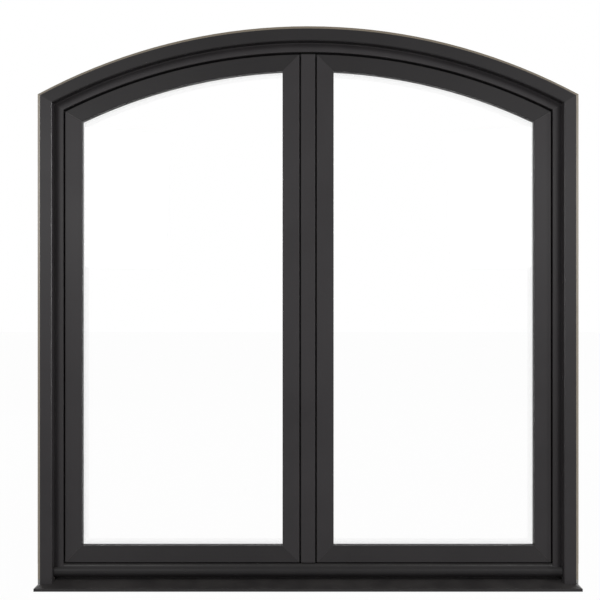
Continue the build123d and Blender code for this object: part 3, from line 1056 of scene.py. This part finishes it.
@dataclass
class SillCladding(SubAssembly):
    """Land, bullnose and drip of the sill, in one length."""

    bulge: float = 0.006
    drip: float = 0.016
    leg: float = 0.038
    bull_steps: int = 18

    def bullnose(self) -> list[Point]:
        """Points of the bullnose from its shoulder down to its chin, as depth and height.

        Returns:
            Both ends and the points between them.
        """
        e, d = ELEVATION, DEPTHS
        top = Vector((d.sash_front, e.bullnose_top))
        foot = Vector((d.quirk_front, e.bullnose_foot))
        chord, rise = foot - top, Vector((d.sash_front - self.bulge, e.bullnose_middle)) - top
        twice = 2 * (chord.x * rise.y - chord.y * rise.x)
        centre = top + Vector((
            (rise.y * chord.length_squared - chord.y * rise.length_squared) / twice,
            (chord.x * rise.length_squared - rise.x * chord.length_squared) / twice,
        ))
        return arc(centre, top - centre, foot - centre, self.bull_steps)

    def build(self) -> None:
        """Make the length, with its land notched between the jambs."""
        e, d, m = ELEVATION, DEPTHS, METAL
        drip, shelf = d.timber_front + self.drip, e.sub_sill + m.fit
        lower = Section((
            *self.bullnose(),
            (drip - m.wall, e.bullnose_foot), (drip - m.wall, shelf), (drip, shelf),
            (drip, e.bullnose_foot + m.wall), (d.timber_front, e.bullnose_foot + m.wall),
            (d.sash_front - self.bulge + m.wall, e.bullnose_middle),
            (d.sash_front + m.wall, e.bullnose_top),
        )).points()
        back, under = d.sash_front + self.leg, e.sill_reveal - m.wall
        upper = Section((
            (d.sash_front + m.wall, under), (back, under),
            (back, e.sill_reveal), (d.sash_front, e.sill_reveal, m.arris),
        )).points()
        outer = e.half_width - e.casing_inner - m.fit
        inner = e.half_width - e.reveal - m.fit
        bm = bmesh.new()
        rows = [
            [bm.verts.new((x, y, z)) for y, z in lower] for x in (-outer, -inner, inner, outer)
        ]
        tops = [[bm.verts.new((x, y, z)) for y, z in upper] for x in (-inner, inner)]
        for near, far in zip(rows, rows[1:]):
            skin(bm, near, far, closed=near is not rows[1])
        bands = [[row[-1], *top, row[0]] for row, top in zip(rows[1:3], tops)]
        skin(bm, *bands, closed=False)
        for ring in (rows[0], rows[-1], *bands):
            bm.faces.new(ring)
        piece = make_piece("sill_moulding", bm)
        self.fix(piece, self.palette.moulding, Run.LEVEL, "cladding", "sill_cladding")
        log.info("sill cladding: land, bullnose and drip")


@dataclass
class EndPads(SubAssembly):
    """Foam pads that close the sill cladding's ends, behind its bullnose and under its foot; their
    near-black colour is partly painted shade for the recess there.
    """

    clearance: float = 0.0002
    upper_length: float = 0.013
    lower_length: float = 0.003

    def build(self) -> None:
        """Make both pads of each end."""
        e, d, m, c = ELEVATION, DEPTHS, METAL, self.clearance
        sill = SillCladding(self.palette)
        top, bottom = e.bullnose_top - c, e.sub_sill + m.fit + c
        front, back = d.timber_front + c, d.timber_front + sill.drip - m.wall - c
        upper = (
            (d.timber_front - c, e.bullnose_foot + m.wall + c),
            (d.sash_front - sill.bulge + m.wall + c, e.bullnose_middle),
            (d.sash_front + m.wall + c, top),
            (d.timber_front - c, top),
        )
        shelf = e.bullnose_foot - c
        lower = ((front, bottom), (back, bottom), (back, shelf), (front, shelf))
        end = e.half_width - e.casing_inner - m.fit
        rows = (("upper", upper, self.upper_length), ("lower", lower, self.lower_length))
        for hand in Hand:
            for label, outline, length in rows:
                piece = make_shell(f"end_pad_{hand.value}_{label}", [
                    [Vector((hand.sign * (end - step), y, z)) for y, z in outline]
                    for step in (0.0, length)
                ])
                self.fix(piece, self.palette.foam_painted_shade, Run.UPRIGHT, "seal")
        log.info("end pads: two at each end of the sill cladding")


@dataclass
class SashCladding(SubAssembly):
    """Four mitred lengths on the weather side of each sash."""

    leg: float = 0.032
    gasket: float = 0.003
    gasket_face: float = 0.009
    glass_setback: float = 0.020

    def section(self, face: float) -> Section:
        """Section with a leg at the sash's edge and a return to the glass."""
        d, m = DEPTHS, METAL
        front, leg_end = d.sash_front, d.sash_front + self.leg
        foot = front + self.glass_setback - self.gasket
        return Section((
            (0.0, leg_end), (0.0, front, m.arris),
            (face, front, m.arris), (face, foot, m.inner_round),
            (face - self.gasket_face, foot), (face - self.gasket_face, foot - m.wall),
            (face - m.wall, foot - m.wall), (face - m.wall, front + m.wall, m.inner_round),
            (m.wall, front + m.wall, m.inner_round), (m.wall, leg_end),
        ))

    def members(self) -> dict[str, Member]:
        """Set out the left sash.

        Returns:
            Members by the first word of the CAD node that they stand for.
        """
        e, j, face, foot = ELEVATION, METAL.joint, ELEVATION.sash_face, ELEVATION.sash_bottom
        hinge, meeting = e.sash_edge - e.half_width, -e.meeting_edge
        stile, crown = self.section(face), self.section(e.glass_line - e.sash_crown)
        hinge_top, meeting_top = (
            Cut(e.corner(x, e.sash_crown), e.corner(x + step, e.glass_line))
            for x, step in ((hinge, face), (meeting, -face))
        )
        hinge_foot = Cut((hinge, foot), (hinge + face, foot + face))
        meeting_foot = Cut((meeting, foot), (meeting - face, foot + face))
        return {
            "hinge_stile": Member(
                stile, Run.UPRIGHT, hinge,
                eased(hinge_foot.height_at, j), eased(hinge_top.height_at, -j),
            ),
            "meeting_stile": Member(
                stile, Run.UPRIGHT, meeting,
                eased(meeting_foot.height_at, j), eased(meeting_top.height_at, -j), facing=-1.0,
            ),
            "bottom_rail": Member(
                stile, Run.LEVEL, foot,
                eased(hinge_foot.place_at, j), eased(meeting_foot.place_at, -j),
            ),
            "top_rail": Member(
                crown, Run.ARCHED, e.sash_crown,
                lambda r, _: hinge_top.turn_at(r) + j / r,
                lambda r, _: meeting_top.turn_at(r) - j / r,
            ),
        }

    def build(self) -> None:
        """Make the four lengths of both sashes."""
        for hand in Hand:
            for part, member in self.members().items():
                piece = make_shell(f"{part}_extrusion_{hand.value}", hand.placed(member.rings()))
                node = f"{part}_cladding_{hand.value}"
                self.fix(piece, self.palette.cladding, member.run, "cladding", node)
            log.info("%s sash cladding: four mitred lengths", hand.value)


@dataclass
class MullionCover(SubAssembly):
    """Channel over the mullion between the meeting stiles. Foam pad over its top: near-black,
    partly painted shade in the gap under the head.
    """

    leg: float = 0.038
    pad_depth: float = 0.0010
    pad_clearance: float = 0.0005

    def build(self) -> None:
        """Make the channel, cut to the head's arc, and the pad over it."""
        e, d, m, p = ELEVATION, DEPTHS, METAL, self.palette
        half, front, back = e.mullion_face / 2, d.sash_front, d.sash_front + self.leg
        section = Section((
            (-half, back), (-half, front, m.arris), (half, front, m.arris), (half, back),
            (half - m.wall, back), (half - m.wall, front + m.wall, m.inner_round),
            (-half + m.wall, front + m.wall, m.inner_round), (-half + m.wall, back),
        ))
        top = e.rise(e.sash_crown, half)
        cover = Member(section, Run.UPRIGHT, 0.0, lambda x, y: e.sash_bottom, lambda x, y: top)
        channel = make_shell("mullion_channel", cover.rings())
        self.fix(channel, p.cladding, Run.UPRIGHT, "cladding", "mullion_cover")
        near, far = d.timber_front - self.pad_depth, d.timber_front - m.fit
        crown = e.rise(e.reveal, self.pad_clearance) - self.pad_clearance
        outline = ((near, top), (far, top), (far, crown), (near, crown))
        pad = [[Vector((x, y, z)) for y, z in outline] for x in (-half, half)]
        self.fix(make_shell("mullion_pad", pad), p.foam_painted_shade, Run.LEVEL, "seal")
        log.info("mullion cover: one channel, with a pad over it")


@dataclass
class HandleScrews(SubAssembly):
    """Socket-head screws at both ends of each handle plate."""

    plate_x: float = 0.04725
    plate_back: float = 0.007
    middle: float = 0.640
    spread: float = 0.047
    head_radius: float = 0.0030
    head_height: float = 0.0009
    rim_share: float = 0.4
    face_share: float = 0.86
    socket_radius: float = 0.0013
    socket_depth: float = 0.0007
    socket_flats: int = 6
    sides: int = 36

    @staticmethod
    def reach(turn: float, radius: float, flats: int) -> float:
        """Distance to a round outline, or to one of flats round a circle, at a turn."""
        half = math.pi / (flats or 1)
        return radius / math.cos(turn % (2 * half) - half) if flats else radius

    def ring(self, x: float, z: float, radius: float, depth: float, flats: int = 0) -> Ring:
        """Ring of points round a screw, with flats where it has a socket."""
        turns = [2 * math.pi * side / self.sides for side in range(self.sides)]
        spokes = [(turn, self.reach(turn, radius, flats)) for turn in turns]
        return [Vector((x + r * math.cos(t), depth, z + r * math.sin(t))) for t, r in spokes]

    def build(self) -> None:
        """Set two screws on each plate."""
        seat, face = self.plate_back, self.plate_back + self.head_height
        rows = (
            (self.head_radius, seat),
            (self.head_radius, seat + self.head_height * self.rim_share),
            (self.head_radius * self.face_share, face),
            (self.socket_radius, face, self.socket_flats),
            (self.socket_radius, face - self.socket_depth, self.socket_flats),
        )
        for hand in Hand:
            for label, step in (("upper", self.spread), ("lower", -self.spread)):
                x, z = hand.sign * self.plate_x, self.middle + step
                rings = [self.ring(x, z, *row) for row in rows]
                piece = make_shell(f"handle_screw_{hand.value}_{label}", rings)
                self.fix(piece, self.palette.handle, Run.UPRIGHT, "handle")
        log.info("handle screws: two on each plate")


@dataclass
class CarriedOver(SubAssembly):
    """CAD nodes whose shape stays, with their finishes and softened edges."""

    softening: float = 0.0008
    weld_distance: float = 0.00001
    soften_angle: float = math.radians(30.0)

    def soften(self, node: Object) -> None:
        """Round a node's sharp edges, which its own mesh leaves open.

        Args:
            node: The CAD node.
        """
        weld = node.modifiers.new("Joined edges", "WELD")
        weld.merge_threshold = self.weld_distance
        bevel = node.modifiers.new("Softened edges", "BEVEL")
        bevel.width = self.softening
        bevel.segments = 2
        bevel.limit_method = "ANGLE"
        bevel.angle_limit = self.soften_angle
        bevel.harden_normals = True

    def build(self) -> None:
        """Dress every node that no piece replaces."""
        p = self.palette
        stiles = ("frame_jamb", "frame_mullion", "hinge_stile", "meeting_stile")
        plan = (
            (p.timber, Run.UPRIGHT, stiles),
            (p.timber, Run.LEVEL, ("frame_sill", "bottom_rail")),
            (p.timber, Run.ARCHED, ("top_rail",)),
            (p.head_timber, Run.ARCHED, ("frame_head",)),
            (p.primer, Run.LEVEL, ("sub_sill",)),
            (p.nosing, Run.LEVEL, ("sill_nosing",)),
            (p.glass, Run.UPRIGHT, ("outer_pane", "inner_pane")),
            (p.spacer, Run.UPRIGHT, ("spacer",)),
            (p.rubber, Run.UPRIGHT, ("glazing_gasket", "weather_seal")),
            (p.handle, Run.UPRIGHT, ("handle_plate", "handle_lever")),
        )
        for finish, run, names in plan:
            nodes = [f"{name}{side}" for name in names for side in ("", "_left", "_right")]
            for node in filter(None, map(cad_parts.get, nodes)):
                dress(node, p.pick(finish, run))
                if finish not in (p.glass, p.spacer, p.rubber):
                    self.soften(node)
            log.info("%s: %s, %s", ", ".join(names), finish.name, run.value)


@dataclass(frozen=True)
class Lamp:
    """Rectangular soft lamp that looks at a point."""

    name: str
    place: Place
    target: Place
    size: Point
    watts: float

    def hang(self) -> None:
        """Hang the lamp."""
        data = bpy.data.lights.new(self.name, "AREA")
        data.shape = "RECTANGLE"
        data.size, data.size_y = self.size
        data.energy = self.watts
        made = bpy.data.objects.new(self.name, data)
        made.location = self.place
        aim = Vector(self.target) - Vector(self.place)
        made.rotation_euler = aim.to_track_quat("-Z", "Y").to_euler()
        bpy.context.scene.collection.objects.link(made)


@dataclass
class Studio:
    """Pale floor, white surroundings, soft lamps and the camera."""

    floor_size: float = 40.0
    floor_tone: Colour = (0.42, 0.42, 0.42, 1.0)
    floor_shine: float = 0.98
    world_level: float = 0.36
    camera_distance: float = 2.5
    camera_height: float = 0.8353
    lens: float = 51.89
    shift_x: float = -0.0135
    lamps: tuple[Lamp, ...] = (
        Lamp("left softbox", (-1.5, -3.1, 1.50), (0.0, 0.0, 1.1), (1.2, 0.9), 23.5),
        Lamp("right softbox", (1.5, -3.1, 1.50), (0.0, 0.0, 1.1), (1.2, 0.9), 20.5),
        Lamp("right strip", (6.4, -2.15, 1.4), (-0.74, -0.08, 1.1), (0.35, 3.4), 190.0),
        Lamp("left strip", (-6.4, -2.15, 1.4), (0.74, -0.08, 1.1), (0.35, 3.4), 80.0),
        Lamp("left room softbox", (-2.9, 3.0, 1.7), (0.0, 0.0, 0.9), (1.6, 1.6), 46.0),
        Lamp("right room softbox", (2.9, 3.0, 1.7), (0.0, 0.0, 0.9), (1.6, 1.6), 38.0),
    )

    def build(self) -> None:
        """Set out everything round the window."""
        self.floor()
        self.surroundings()
        for lamp in self.lamps:
            lamp.hang()
        self.camera()
        log.info("studio: floor, surroundings, six lamps and the camera")

    @staticmethod
    def seen_directly(wire: Wiring) -> Socket:
        """1 where the camera, a reflection or a view through glass meets the surface."""
        path = wire.add("ShaderNodeLightPath")
        glossy = wire.sum("ADD", path["Is Camera Ray"], path["Is Glossy Ray"])
        return wire.sum("ADD", glossy, path["Is Transmission Ray"], clamp=True)

    def floor(self) -> None:
        """Make the floor, white to the eye and pale to the light."""
        bm = bmesh.new()
        bmesh.ops.create_grid(bm, x_segments=8, y_segments=8, size=self.floor_size / 2)
        piece = make_piece("floor", bm)
        material = bpy.data.materials.new("Pale floor")
        material.use_nodes = True
        wire = Wiring(material.node_tree)
        share = wire.times(self.seen_directly(wire), self.floor_shine)
        matt = wire.add("ShaderNodeBsdfDiffuse", self.floor_tone)[0]
        white = wire.add("ShaderNodeEmission", WHITE, 1.0)[0]
        mixed = wire.add("ShaderNodeMixShader", share, matt, white)[0]
        wire.add("ShaderNodeOutputMaterial", mixed)
        dress(piece, material)

    def surroundings(self) -> None:
        """Light the room evenly and show it white."""
        world = bpy.data.worlds.new("Studio")
        bpy.context.scene.world = world
        world.use_nodes = True
        wire = Wiring(world.node_tree)
        level = wire.add("ShaderNodeBackground", WHITE, self.world_level)[0]
        white = wire.add("ShaderNodeBackground", WHITE, 1.0)[0]
        mixed = wire.add("ShaderNodeMixShader", self.seen_directly(wire), level, white)[0]
        wire.add("ShaderNodeOutputWorld", mixed)

    def camera(self) -> None:
        """Set the level camera in front of the weather side."""
        data = bpy.data.cameras.new("camera")
        data.sensor_width = 36.0
        data.lens = self.lens
        data.shift_x = self.shift_x
        data.clip_end = 100.0
        made = bpy.data.objects.new("camera", data)
        made.location = (0.0, DEPTHS.casing_front - self.camera_distance, self.camera_height)
        made.rotation_euler = (math.pi / 2, 0.0, 0.0)
        bpy.context.scene.collection.objects.link(made)
        bpy.context.scene.camera = made


def main() -> None:
    """Build the studio, then the window from its outside inwards."""
    bpy.context.scene.view_settings.view_transform = "Standard"
    Studio().build()
    palette = Palette()
    for part in (
        Casing, FrameCladding, SillCladding, EndPads,
        SashCladding, MullionCover, HandleScrews, CarriedOver,
    ):
        part(palette).build()


if __name__ == "__main__":
    main()
